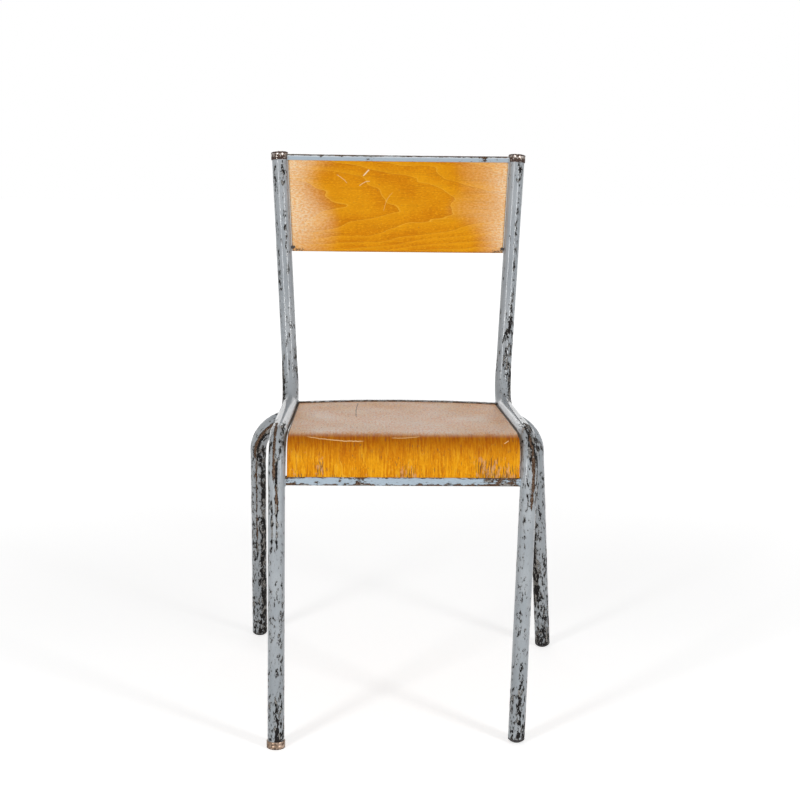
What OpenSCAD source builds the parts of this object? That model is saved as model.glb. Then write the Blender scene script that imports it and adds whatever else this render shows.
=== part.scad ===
// Old stacking chair: two bent side tubes, a rear leg arch, pressed channel rails,
// a moulded ply seat and a ply back panel.
// Millimetres. +Z up, the front of the chair faces -Y, feet on the plane z = 0.

/* [Tubing] */
// Outside diameter of the steel tube
tube_d = 24; // [20:0.5:26]
// Wall thickness of the steel tube
tube_wall = 1.5; // [1:0.1:2.5]
// Centreline radius of the two bends in each side tube
side_bend_r = 55; // [45:1:60]
// Centreline radius of the two bends in the rear arch
arch_bend_r = 64; // [56:1:74]
// How much further out the tube's skin stands in its bends
bend_swell = 0.5; // [0.2:0.1:0.8]

/* [Frame] */
// Height of the upright tops
upright_top_z = 803; // [720:1:900]
// Height of the side tube axis at the front elbow
elbow_z = 447; // [440:1:455]
// Height of the side tube axis at the rear bend
rear_bend_z = 425; // [421:1:429]
// Distance from the front elbow back to the rear bend
rail_len = 322; // [300:1:360]
// Half spacing of the side tubes at the front elbow
elbow_half = 177; // [170:1:190]
// Half spacing of the side tubes at the rear bend
rear_bend_half = 163; // [158:1:168]
// Half spacing of the uprights at the top
top_half = 184; // [176:1:196]
// Backward lean of the uprights in degrees
back_lean = 10.9; // [7:0.1:14]

/* [Feet, as bent by use] */
// Front left foot, sideways from the middle
foot_fl_x = -177.2; // [-186:0.1:-168]
// Front left foot, forward of the front elbow
foot_fl_out = 24.6; // [0:0.1:35]
// Front right foot, sideways from the middle
foot_fr_x = 168.2; // [160:0.1:186]
// Front right foot, forward of the front elbow
foot_fr_out = 6; // [0:0.1:35]
// Rear left foot, sideways from the middle
foot_rl_x = -217.6; // [-250:0.1:-206]
// Rear left foot, behind the rear bend
foot_rl_out = 136.7; // [90:0.1:150]
// Rear right foot, sideways from the middle
foot_rr_x = 248.4; // [206:0.1:260]
// Rear right foot, behind the rear bend
foot_rr_out = 78.6; // [60:0.1:150]
// Half width between the corners of the rear arch
arch_half = 214; // [206:1:226]

/* [Panels] */
// Thickness of both ply panels
ply_t = 8; // [6:0.5:9]
// How far the seat's underside lies below the side tube axis
seat_under = 3; // [2:0.5:4]
// Outside radius of the rolled front edge of the seat
seat_roll_r = 34; // [26:1:40]
// Gap between seat and side tube at the front
seat_gap_front = 2.2; // [2.2:0.1:6]
// Gap between seat and side tube at the rear
seat_gap_rear = 1; // [0.6:0.1:3]
// How far the middle of the seat's rear edge stands behind its ends
seat_bow = 22; // [14:1:26]
// Visible height of the back panel, along its slope
back_h = 140; // [110:1:160]
// How far the middle of the back panel stands behind its sides
back_bow = 5; // [3:0.5:10]
// Gap between back panel and upright
back_gap = 0.3; // [0.3:0.1:3]

/* [Rails and ends] */
// Sheet thickness of the pressed channels
sheet_t = 2; // [1.2:0.1:2.5]
// Height of the front rail
front_rail_h = 12; // [9:0.5:16]
// How far the front rail's top edge lies below the side tube axis
front_rail_drop = 54.2; // [48:0.1:60]
// How far the front rail lies behind the elbow line
front_rail_back = 2.7; // [0:0.1:5]
// Height of the top rail, along its slope
top_rail_h = 9.5; // [8:0.5:12]
// Depth of the rear rail
rear_rail_w = 12; // [9:0.5:13]
// Wall thickness of the caps on the uprights
cap_wall = 1.1; // [0.6:0.1:2.5]
// Length of the cap's skirt
cap_skirt = 10.5; // [6:0.5:14]
// Wall thickness of the ferrule on the front left foot
ferrule_wall = 1.3; // [0.6:0.1:2.5]
// Height of the ferrule
ferrule_h = 10.5; // [7:0.5:16]
// Height of a foot plug below its tube end
plug_h = 7; // [5:0.5:9]

/* [Hidden] */
$fn = 64;
LEFT = -1;
RIGHT = 1;

paint = [0.60, 0.65, 0.69];
ply_brown = [0.80, 0.50, 0.15];
worn_nickel = [0.55, 0.48, 0.42];
copper_brown = [0.62, 0.42, 0.28];
black_rubber = [0.10, 0.10, 0.10];

// The chair is placed so that its bounding box is centred on the Z axis.
centre_x = 15.19;
centre_y = 4.52;
elbow_y = -210.6;
rear_bend_y = elbow_y + rail_len;
tube_r = tube_d / 2;
bore_d = tube_d - 2 * tube_wall;
cap_d = tube_d + 2 * cap_wall;
ferrule_d = tube_d + 2 * ferrule_wall;
seat_rise = ply_t - seat_under;
seat_slope = atan((elbow_z - rear_bend_z) / rail_len);
rail_run = norm([rail_len, elbow_z - rear_bend_z]);
upright_run = (upright_top_z - rear_bend_z) / cos(back_lean);
reach = 600;
overlap = 1;
step = 0.2;
flare_len = 16;
seam_turn = 50;

// Corner points of each bent tube's centreline, from the foot upwards.
foot_fl = [foot_fl_x, elbow_y - foot_fl_out, 0];
foot_fr = [foot_fr_x, elbow_y - foot_fr_out, 0];
foot_rl = [foot_rl_x, rear_bend_y + foot_rl_out, 0];
foot_rr = [foot_rr_x, rear_bend_y + foot_rr_out, 0];
function elbow(side) = [side * elbow_half, elbow_y, elbow_z];
function rear_bend(side) = [side * rear_bend_half, rear_bend_y, rear_bend_z];
function upright_top(side) = rear_bend(side)
    + [side * (top_half - rear_bend_half), upright_run * sin(back_lean),
       upright_run * cos(back_lean)];
function front_foot(side) = side == LEFT ? foot_fl : foot_fr;
function rear_foot(side) = side == LEFT ? foot_rl : foot_rr;
function along(p, q, d) = p + d * (q - p) / norm(q - p);

// The arch passes under the rear bends and touches both side tubes from below.
bend_mid_y = rear_bend_y - side_bend_r * tan(45 - (back_lean - seat_slope) / 2)
    * cos(seat_slope) + side_bend_r * sin(seat_slope);
bend_mid_z = rear_bend_z + side_bend_r * tan(45 - (back_lean - seat_slope) / 2)
    * sin(seat_slope) + side_bend_r * cos(seat_slope);
arch_back = 21.3;
arch_y = bend_mid_y + arch_back;
arch_dip = max(0, rear_bend_half - (arch_half - arch_bend_r));
arch_bite = 0.6;
arch_z = bend_mid_z - sqrt(pow(side_bend_r + tube_d + 2 * bend_swell, 2) - pow(arch_back, 2))
    + arch_bend_r - sqrt(pow(arch_bend_r, 2) - pow(arch_dip, 2)) + arch_bite;
function arch_corner(side) = [side * arch_half, arch_y, arch_z];

function unit(v) = v / norm(v);

// Round bar from p to q, hollow when d_in is above zero.
module bar(p, q, d, d_in) {
    v = q - p;
    translate(p)
        rotate([0, acos(v[2] / norm(v)), atan2(v[1], v[0])])
            difference() {
                cylinder(h = norm(v), d = d);
                if (d_in > 0)
                    translate([0, 0, -overlap])
                        cylinder(h = norm(v) + 2 * overlap, d = d_in);
            }
}

// Bend of radius r at corner k, turning from direction u to direction v.
module bend(k, u, v, r, d, d_in) {
    turn = acos(u * v);
    n = unit(v - (u * v) * u);
    o = k - r * tan(turn / 2) * u + r * n;
    w = cross(-n, u);
    multmatrix([[-n[0], u[0], w[0], o[0]],
                [-n[1], u[1], w[1], o[1]],
                [-n[2], u[2], w[2], o[2]],
                [0, 0, 0, 1]])
        rotate_extrude(angle = turn)
            translate([r, 0])
                difference() {
                    circle(d = d);
                    if (d_in > 0)
                        circle(d = d_in);
                }
}

// Cone from p to q that swells the tube's outside, hollow when d_in is above zero.
module flare(p, q, d, d_in) {
    v = q - p;
    translate(p)
        rotate([0, acos(v[2] / norm(v)), atan2(v[1], v[0])])
            rotate([0, 0, seam_turn])
                difference() {
                    cylinder(h = norm(v), d1 = d - step, d2 = d + 2 * bend_swell - step);
                    if (d_in > 0)
                        translate([0, 0, -overlap])
                            cylinder(h = norm(v) + 2 * overlap, d = (d + d_in) / 2);
                }
}

// Tube with two bends of radius r, along the four points of its centreline.
// The tube is a little fatter in its bends, where the bender squeezed it.
module bent_tube(p, r, d, d_in) {
    u = [unit(p[1] - p[0]), unit(p[2] - p[1]), unit(p[3] - p[2])];
    cut = [r * tan(acos(u[0] * u[1]) / 2), r * tan(acos(u[1] * u[2]) / 2)];
    a = [p[1] - (cut[0] - overlap) * u[0], p[1] + (cut[0] - overlap) * u[1]];
    b = [p[2] - (cut[1] - overlap) * u[1], p[2] + (cut[1] - overlap) * u[2]];
    bar(p[0], a[0], d, d_in);
    bar(a[1], b[0], d, d_in);
    bar(b[1], p[3], d, d_in);
    flare(a[0] - flare_len * u[0], a[0], d, d_in);
    flare(a[1] + flare_len * u[1], a[1], d, d_in);
    flare(b[0] - flare_len * u[1], b[0], d, d_in);
    flare(b[1] + flare_len * u[2], b[1], d, d_in);
    bend(p[1], u[0], u[1], r, d + 2 * bend_swell, max(0, d_in - step));
    bend(p[2], u[1], u[2], r, d + 2 * bend_swell, max(0, d_in - step));
}

// Stands a shape made along +Z at point p, pointing the way from q to p.
module stand_on(p, q) {
    v = p - q;
    translate(p)
        rotate([0, acos(v[2] / norm(v)), atan2(v[1], v[0])])
            children();
}

// Distance from the floor point of a foot up to the tube's cut end.
ferrule_floor = 2;
function end_gap(side) = side == LEFT ? ferrule_floor : plug_h;

module side_path(side, d, d_in) {
    bent_tube([along(front_foot(side), elbow(side), end_gap(side)), elbow(side),
               rear_bend(side), upright_top(side)], side_bend_r, d, d_in);
}

module side_tube(side) {
    color(paint)
        side_path(side, tube_d, bore_d);
}

module rear_leg_arch() {
    color(paint)
        difference() {
            bent_tube([along(foot_rl, arch_corner(LEFT), plug_h), arch_corner(LEFT),
                       arch_corner(RIGHT), along(foot_rr, arch_corner(RIGHT), plug_h)],
                      arch_bend_r, tube_d, bore_d);
            side_path(LEFT, tube_d, 0);
            side_path(RIGHT, tube_d, 0);
        }
}

// Pressed channel section, open upwards, its base on y = 0.
module channel_section(w, h) {
    difference() {
        translate([-w / 2, 0])
            square([w, h]);
        translate([-w / 2 + sheet_t, sheet_t])
            square([w - 2 * sheet_t, h]);
    }
}

channel_w = ply_t + 2 * sheet_t;
rail_tuck = 5;

// Seat frame: origin at the elbow line, Y back along the side rails.
module in_seat_frame() {
    translate([0, elbow_y, elbow_z])
        rotate([-seat_slope, 0, 0])
            children();
}

module front_rail() {
    color(paint)
        difference() {
            in_seat_frame()
                translate([0, front_rail_back, -front_rail_drop - front_rail_h])
                    rotate([90, 0, 90])
                        linear_extrude(height = 2 * (elbow_half - rail_tuck), center = true)
                            channel_section(channel_w, front_rail_h);
            side_path(LEFT, tube_d, 0);
            side_path(RIGHT, tube_d, 0);
        }
}

// Plan arc of the seat's rear edge, outside face of the rear rail.
rear_rail_inset = 6.45;
rear_rail_y = rail_run - rear_rail_inset;
rear_half = rear_bend_half - tube_r;
rear_arc_r = (pow(rear_half, 2) + pow(seat_bow, 2)) / (2 * seat_bow);
rear_arc_y = rear_rail_y - rear_arc_r;
rear_arc_half = asin((rear_half + tube_r) / rear_arc_r);

module rear_rail() {
    color(paint)
        difference() {
            in_seat_frame()
                translate([0, rear_arc_y, seat_rise - ply_t - sheet_t])
                    rotate([0, 0, 90 - rear_arc_half])
                        rotate_extrude(angle = 2 * rear_arc_half, $fn = 180)
                            difference() {
                                translate([rear_arc_r - rear_rail_w, 0])
                                    square([rear_rail_w, channel_w]);
                                translate([rear_arc_r - rear_rail_w - sheet_t, sheet_t])
                                    square([rear_rail_w, ply_t]);
                            }
            side_path(LEFT, tube_d, 0);
            side_path(RIGHT, tube_d, 0);
        }
}

// Side profile of the seat: flat top, rolled front edge, square-bent apron.
seat_front_y = front_rail_back - ply_t / 2;
roll_y = seat_front_y + seat_roll_r;
roll_z = seat_rise - seat_roll_r;
apron_bottom = -front_rail_drop - front_rail_h + sheet_t;

module seat_profile() {
    intersection() {
        translate([roll_y, roll_z])
            difference() {
                circle(r = seat_roll_r, $fn = 180);
                circle(r = seat_roll_r - ply_t, $fn = 180);
            }
        translate([seat_front_y, roll_z])
            square([seat_roll_r, seat_roll_r]);
    }
    translate([roll_y, seat_rise - ply_t])
        square([rear_rail_y, ply_t]);
    translate([seat_front_y, apron_bottom])
        square([ply_t, roll_z - apron_bottom]);
}

seat_half_front = elbow_half - tube_r - seat_gap_front;
seat_half_rear = rear_bend_half - tube_r - seat_gap_rear;

module seat_panel() {
    color(ply_brown)
        in_seat_frame()
            intersection() {
                rotate([90, 0, 90])
                    linear_extrude(height = 2 * elbow_half, center = true)
                        seat_profile();
                translate([0, rear_arc_y, -reach / 2])
                    cylinder(r = rear_arc_r - sheet_t, h = reach, $fn = 360);
                linear_extrude(height = reach, center = true)
                    polygon([[-seat_half_front, 0], [-seat_half_front, -tube_d],
                             [seat_half_front, -tube_d], [seat_half_front, 0],
                             [seat_half_rear, rail_run], [-seat_half_rear, rail_run]]);
            }
}

// Back frame: origin at the rear bends, Z up along the leaning uprights.
module in_back_frame() {
    translate([0, rear_bend_y, rear_bend_z])
        rotate([-back_lean, 0, 0])
            children();
}

top_rail_drop = 1.4;
back_top = upright_run - top_rail_drop;
back_bottom = back_top - top_rail_h - back_h;
back_arc_r = (pow(top_half - tube_r, 2) + pow(back_bow, 2)) / (2 * back_bow);
back_arc_half = asin(top_half / back_arc_r);
back_round_r = ply_t / 2;

// Turns a (radius, height) section through the back's plan arc.
module back_arc() {
    translate([0, back_bow - back_arc_r, 0])
        rotate([0, 0, 90 - back_arc_half])
            rotate_extrude(angle = 2 * back_arc_half, $fn = 360)
                children();
}

function upright_x(z) = rear_bend_half + (top_half - rear_bend_half) * z / upright_run;

module back_panel_shape() {
    in_back_frame()
        intersection() {
            back_arc() {
                translate([back_arc_r - ply_t / 2, back_bottom + back_round_r])
                    square([ply_t, back_top - sheet_t - back_bottom - back_round_r]);
                translate([back_arc_r, back_bottom])
                    square([ply_t / 2, back_round_r]);
                translate([back_arc_r, back_bottom + back_round_r])
                    circle(r = back_round_r);
            }
            rotate([90, 0, 0])
                linear_extrude(height = reach, center = true)
                    polygon([[-upright_x(0) + tube_r + back_gap, 0],
                             [upright_x(0) - tube_r - back_gap, 0],
                             [top_half - tube_r - back_gap, upright_run],
                             [-top_half + tube_r + back_gap, upright_run]]);
        }
}

// The panel's upper corners are notched round the caps.
module back_panel() {
    color(ply_brown)
        difference() {
            back_panel_shape();
            cap_envelope(LEFT);
            cap_envelope(RIGHT);
        }
}

module cap_envelope(side) {
    stand_on(upright_top(side), rear_bend(side))
        translate([0, 0, -cap_skirt])
            cylinder(h = cap_skirt + top_rail_drop, d = cap_d);
}

module top_rail() {
    color(paint)
        difference() {
            in_back_frame()
                back_arc()
                    difference() {
                        translate([back_arc_r - channel_w / 2, back_top - top_rail_h])
                            square([channel_w, top_rail_h]);
                        translate([back_arc_r - ply_t / 2, back_top - top_rail_h - sheet_t])
                            square([ply_t, top_rail_h]);
                    }
            side_path(LEFT, tube_d, 0);
            side_path(RIGHT, tube_d, 0);
            cap_envelope(LEFT);
            cap_envelope(RIGHT);
        }
}

cap_rim = 0.8;
cap_dome = 2.6;
cap_dome_r = (pow(cap_d / 2, 2) + pow(cap_dome, 2)) / (2 * cap_dome);

module cap(side) {
    color(worn_nickel)
        stand_on(upright_top(side), rear_bend(side))
            difference() {
                union() {
                    translate([0, 0, -cap_skirt])
                        cylinder(h = cap_skirt + cap_rim, d = cap_d);
                    intersection() {
                        cylinder(h = cap_rim + cap_dome + overlap, d = cap_d);
                        translate([0, 0, cap_rim + cap_dome - cap_dome_r])
                            sphere(r = cap_dome_r, $fn = 128);
                    }
                }
                translate([0, 0, -cap_skirt - overlap])
                    cylinder(h = cap_skirt + overlap, d = tube_d);
            }
}

// Everything below the floor plane is worn away, which leaves a small flat.
module above_floor() {
    intersection() {
        children();
        translate([-reach, -reach, 0])
            cube([2 * reach, 2 * reach, reach]);
    }
}

ferrule_flat = 0.8;

module ferrule_front_left() {
    color(copper_brown)
        above_floor()
            stand_on(foot_fl, elbow(LEFT))
                difference() {
                    translate([0, 0, -ferrule_h])
                        cylinder(h = ferrule_h + ferrule_flat, d = ferrule_d);
                    translate([0, 0, -ferrule_h - overlap])
                        cylinder(h = ferrule_h + overlap - ferrule_floor, d = tube_d);
                }
}

plug_stem = 18;
plug_dome_r = 16;
plug_flat = 0.8;

// Rounded foot plug: a stem inside the tube and a domed head below its end.
module plug(foot, corner) {
    color(black_rubber)
        above_floor()
            stand_on(foot, corner) {
                translate([0, 0, -plug_h - plug_stem])
                    cylinder(h = plug_stem + overlap, d = bore_d);
                intersection() {
                    translate([0, 0, -plug_h])
                        cylinder(h = plug_h + tube_r, d = tube_d);
                    translate([0, 0, plug_flat - plug_dome_r])
                        sphere(r = plug_dome_r, $fn = 128);
                }
            }
}

clip_up = 4;
clip_h = 4;
clip_lip = 4;
clip_t = 1.5;

// Small steel clip on each upright, round the lower corner of the back panel.
module clip(side) {
    color(worn_nickel)
        difference() {
            in_back_frame()
                translate([side * upright_x(back_bottom), 0, back_bottom + clip_up])
                    rotate([0, 0, side == LEFT ? 0 : 180])
                        translate([0, -ply_t / 2 - clip_t, 0])
                            cube([tube_r + back_gap + clip_lip, ply_t + 2 * clip_t, clip_h]);
            back_panel_shape();
            side_path(side, tube_d, 0);
        }
}

module in_row_frame() {
    translate([-centre_x, -centre_y, 0])
        children();
}

in_row_frame() side_tube(LEFT);  // side_tube_left
in_row_frame() side_tube(RIGHT);  // side_tube_right
in_row_frame() rear_leg_arch();
in_row_frame() front_rail();
in_row_frame() rear_rail();
in_row_frame() top_rail();
in_row_frame() seat_panel();
in_row_frame() back_panel();
in_row_frame() cap(LEFT);  // cap_left
in_row_frame() cap(RIGHT);  // cap_right
in_row_frame() ferrule_front_left();
in_row_frame() plug(foot_fr, elbow(RIGHT));  // plug_front_right
in_row_frame() plug(foot_rl, arch_corner(LEFT));  // plug_rear_left
in_row_frame() plug(foot_rr, arch_corner(RIGHT));  // plug_rear_right
in_row_frame() clip(LEFT);  // clip_left
in_row_frame() clip(RIGHT);  // clip_right
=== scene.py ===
# %% [markdown]
# # An old stacking chair with peeling paint
# The chair is steel tube, bent cold, welded to three pressed channel rails and sprayed
# blue-grey. A moulded ply seat and a ply back sit in the channels. Years of stacking have
# knocked the paint off along the bends and the feet. This lesson rebuilds each part the way
# the workshop made it: straight stock is drawn out, marked, and then bent.

# %% Load the frame
import math

import bmesh
import bpy
from mathutils import Matrix, Vector, noise


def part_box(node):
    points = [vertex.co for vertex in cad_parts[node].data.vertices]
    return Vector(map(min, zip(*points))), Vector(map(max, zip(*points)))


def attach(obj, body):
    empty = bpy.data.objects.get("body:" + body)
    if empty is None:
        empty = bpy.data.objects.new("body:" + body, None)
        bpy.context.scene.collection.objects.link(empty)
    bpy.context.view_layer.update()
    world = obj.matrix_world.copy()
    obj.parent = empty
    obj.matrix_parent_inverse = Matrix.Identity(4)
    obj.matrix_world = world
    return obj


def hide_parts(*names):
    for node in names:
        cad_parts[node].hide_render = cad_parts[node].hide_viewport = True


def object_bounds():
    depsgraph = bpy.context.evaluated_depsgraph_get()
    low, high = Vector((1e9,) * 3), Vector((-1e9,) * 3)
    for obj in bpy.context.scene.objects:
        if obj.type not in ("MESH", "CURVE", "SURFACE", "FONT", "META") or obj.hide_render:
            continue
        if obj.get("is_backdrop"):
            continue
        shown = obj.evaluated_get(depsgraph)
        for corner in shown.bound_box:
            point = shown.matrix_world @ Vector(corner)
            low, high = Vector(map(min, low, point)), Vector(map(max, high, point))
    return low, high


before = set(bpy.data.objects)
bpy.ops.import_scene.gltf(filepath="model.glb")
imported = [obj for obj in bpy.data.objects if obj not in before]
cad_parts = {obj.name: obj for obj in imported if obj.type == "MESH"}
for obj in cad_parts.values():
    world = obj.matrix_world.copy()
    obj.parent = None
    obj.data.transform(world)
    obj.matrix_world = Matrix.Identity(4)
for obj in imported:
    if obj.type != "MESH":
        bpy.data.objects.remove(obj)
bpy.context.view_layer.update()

# %% [markdown]
# ## Where things are
# The chair was drawn in millimetres about its own middle line, and then moved so that its
# outside box is centred. `at` makes the same move, so every size below can be the plain
# workshop size of the real part.

# %% Sizes of the frame, in millimetres
MM = 0.001
CENTRE_X, CENTRE_Y = 15.19, 4.52
TUBE_R = 12.0
BEND_SWELL = 0.5
FLARE = 16.0
SIDE_BEND_R, ARCH_BEND_R = 55.0, 64.0
ELBOW_Y, ELBOW_Z, RAIL_LEN = -210.6, 447.0, 322.0
REAR_Y, REAR_Z = ELBOW_Y + RAIL_LEN, 425.0
UPRIGHT_TOP_Z = 803.0
BACK_LEAN = math.radians(10.9)
SEAT_SLOPE = math.atan((ELBOW_Z - REAR_Z) / RAIL_LEN)
ELBOW_HALF, REAR_HALF, TOP_HALF = 177.0, 163.0, 184.0
UPRIGHT_RUN = (UPRIGHT_TOP_Z - REAR_Z) / math.cos(BACK_LEAN)
LEFT, RIGHT = -1, 1
PLY = 8.0
SHEET = 2.0


def at(x, y, z):
    """A workshop point, in millimetres, as a point of the frame, in metres."""
    return Vector((x - CENTRE_X, y - CENTRE_Y, z)) * MM


SEAT_FRAME = Matrix.Translation(at(0, ELBOW_Y, ELBOW_Z)) @ Matrix.Rotation(-SEAT_SLOPE, 4, "X")
BACK_FRAME = Matrix.Translation(at(0, REAR_Y, REAR_Z)) @ Matrix.Rotation(-BACK_LEAN, 4, "X")


def elbow(side):
    return at(side * ELBOW_HALF, ELBOW_Y, ELBOW_Z)


def rear_bend(side):
    return at(side * REAR_HALF, REAR_Y, REAR_Z)


def upright_top(side):
    return BACK_FRAME @ (Vector((side * TOP_HALF, 0, UPRIGHT_RUN)) * MM)


FRONT_FOOT = {LEFT: at(-177.2, ELBOW_Y - 24.6, 0), RIGHT: at(168.2, ELBOW_Y - 6.0, 0)}
REAR_FOOT = {LEFT: at(-217.6, REAR_Y + 136.7, 0), RIGHT: at(248.4, REAR_Y + 78.6, 0)}
ARCH_CORNER = {side: at(side * 214.0, 87.896, 408.01) for side in (LEFT, RIGHT)}
print("upright tops at, mm:", [[round(c / MM) for c in upright_top(s)] for s in (LEFT, RIGHT)])

# %% [markdown]
# ## The camera
# A long lens, a little above the back, looking down at the seat. Its small turn, tilt and
# roll are those of a person who has put the chair on a sweep of white paper and stepped back.

# %% Camera
SENSOR_MM, LENS_MM, LENS_SHIFT = 36.0, 88.43463, -0.0208625
PAN, PITCH, ROLL = 0.044503, 0.223069, 0.016455
EYE = at(-101.445, -2865.102, 1105.794)

forward = Vector((math.sin(PAN) * math.cos(PITCH), math.cos(PAN) * math.cos(PITCH), -math.sin(PITCH)))
level = Vector((math.cos(PAN), -math.sin(PAN), 0))
lift = level.cross(forward)
across = math.cos(ROLL) * level + math.sin(ROLL) * lift
upward = -math.sin(ROLL) * level + math.cos(ROLL) * lift

lens = bpy.data.cameras.new("camera")
lens.sensor_width, lens.lens, lens.shift_x = SENSOR_MM, LENS_MM, LENS_SHIFT
lens.clip_start, lens.clip_end = 0.05, 60
camera = bpy.data.objects.new("camera", lens)
camera.matrix_world = Matrix((across, upward, -forward)).transposed().to_4x4()
camera.location = EYE
bpy.context.scene.collection.objects.link(camera)
bpy.context.scene.camera = camera
print("lens, mm:", round(lens.lens, 2))

# %% [markdown]
# ## The studio
# Two tall strip softboxes stand in front, left and right. A round tube mirrors each as one
# bright line, which is what makes it read as glossy and round. They are low and upright, so
# they light the front of the chair more than the top of the seat. A soft panel far behind
# keeps the back of the chair readable. The white surround is only as bright as white paper.

# %% Lamps
STRIP = {"away": 2.3, "width": 0.32, "height": 1.9, "middle_z": 1.0, "radiance": 11.6}


def strip(name, bearing_deg, away, width, height, middle_z, radiance):
    """An upright soft panel that faces the chair; bearing 0 is straight in front."""
    lamp = bpy.data.lights.new(name, "AREA")
    lamp.shape, lamp.size, lamp.size_y = "RECTANGLE", width, height
    lamp.energy = radiance * math.pi * width * height
    ob = bpy.data.objects.new(name, lamp)
    bearing = math.radians(bearing_deg)
    ob.location = (away * math.sin(bearing), -away * math.cos(bearing), middle_z)
    ob.rotation_euler = (math.pi / 2, 0, bearing)
    bpy.context.scene.collection.objects.link(ob)


strip("strip_left", -36, **STRIP)
strip("strip_right", 41, **STRIP)
strip("panel_behind", 180, away=3.2, width=2.4, height=1.6, middle_z=1.6, radiance=0.8)

# %% [markdown]
# ## One helper for every material
# A material is a handful of nodes in a row. `add` makes one node, sets it and links it, so
# that a finish below reads like a recipe. It is the only function that makes a node. Colours
# are written as on a paint card, in hex, and one function turns them into the linear colour
# that a shader works in.

# %% Node helper and colours
def linear(hex_colour):
    """An sRGB hex colour as a linear colour."""
    parts = [int(hex_colour[i:i + 2], 16) / 255 for i in (0, 2, 4)]
    return [c / 12.92 if c <= 0.04045 else ((c + 0.055) / 1.055) ** 2.4 for c in parts] + [1.0]


def feed(tree, node, feeds):
    """Fills a node's inputs from a row, or a dict by name or number; a string is a hex colour."""
    for key, value in (feeds if isinstance(feeds, dict) else dict(enumerate(feeds))).items():
        if isinstance(value, bpy.types.NodeSocket):
            tree.links.new(value, node.inputs[key])
        else:
            node.inputs[key].default_value = linear(value) if isinstance(value, str) else value


def add(tree, kind, settings=None, feeds=()):
    """One node: settings are its own properties, feeds are values or sockets for its inputs."""
    node = tree.nodes.new("ShaderNode" + kind)
    for key, value in (settings or {}).items():
        setattr(node, key, value)
    feed(tree, node, feeds)
    return node.outputs


def new_finish(name):
    """An empty material with a Principled shader, and its tree."""
    finish = bpy.data.materials.new(name)
    finish.use_nodes = True
    return finish, finish.node_tree, finish.node_tree.nodes["Principled BSDF"]


# %% [markdown]
# ## Patterns and coats
# Four moves make up every finish here. `pattern` is a noise whose cells have a real size in
# millimetres. `summed` lays patterns and marks over each other. `passed` says where values
# have all gone past a height. `layered` brushes thin colours on, one over another, each only
# where its pattern is high enough, as a painter glazes.

# %% Patterns and coats
SMOOTH = {"interpolation_type": "SMOOTHSTEP"}
BLEND = {"data_type": "RGBA"}
TIMES, MINUS, OVER = [{"operation": how} for how in ("MULTIPLY", "SUBTRACT", "DIVIDE")]


def pattern(tree, where, sizes_mm, detail=3.0, rough=0.55, twist=0.0):
    """Noise with cells of the given sizes along x, y and z."""
    scale = [1 / (MM * size) for size in sizes_mm]
    sized = add(tree, "VectorMath", TIMES, (where, scale))[0]
    return add(tree, "TexNoise", None, {"Vector": sized, "Scale": 1.0, "Detail": detail,
                                        "Roughness": rough, "Distortion": twist})[0]


def summed(tree, total, *parts):
    """A total with more added to it; each part is (value, weight)."""
    for value, weight in parts:
        total = add(tree, "Math", {"operation": "MULTIPLY_ADD"}, (value, weight, total))[0]
    return total


def passed(tree, *steps):
    """1 where each value has gone past its step, (value, from, to), and 0 elsewhere."""
    first, *others = [add(tree, "MapRange", SMOOTH, step)[0] for step in steps]
    for other in others:
        first = add(tree, "Math", TIMES, (first, other))[0]
    return first


def layered(tree, under, layers):
    """Coats on a colour, each (value, from, to, share, colour): seen where value passes to `to`."""
    for value, start, full, share, colour in layers:
        shown = add(tree, "MapRange", SMOOTH, (value, start, full, 0.0, share))[0]
        under = add(tree, "Mix", BLEND, {0: shown, 6: under, 7: colour})[2]
    return under


# %% [markdown]
# ## Finish: stoving enamel over black primer on rusty steel
# The tube was pickled black, sprayed blue-grey and baked. Enamel is hard and brittle, so a
# knock lifts a flake with a sharp edge. The flake shows the black layer first, and in the
# middle, where it is oldest, brown rust. So one noise is cut at two heights: the lower cut
# is black, and only past the higher one may rust show, so each brown patch keeps a dark
# outline. Where a floor or another chair still rubs, the steel is scoured grey inside its
# dark outline. The noise is read in the tube's straight-stock coordinates, so the chips run
# along the tube and turn with it. The gloss is the coat, which is left out on the chips: bare
# primer is matt and nearly black. Real enamel specks are finer than 1.2 mm and are drawn that
# coarse so that they show.

# %% Chipped enamel
PAINT_ENDS, RUST_STARTS, STEEL_STARTS = (0.955, 0.97), (0.985, 1.0), (1.0, 1.015)
GLOSSY, MATT = 0.3, 0.7
ENAMEL_COAT, ENAMEL_COAT_ROUGH = 0.75, 0.11
LOW_SHINE = 0.12
PAINT_THICK = 0.2 * MM


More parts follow.
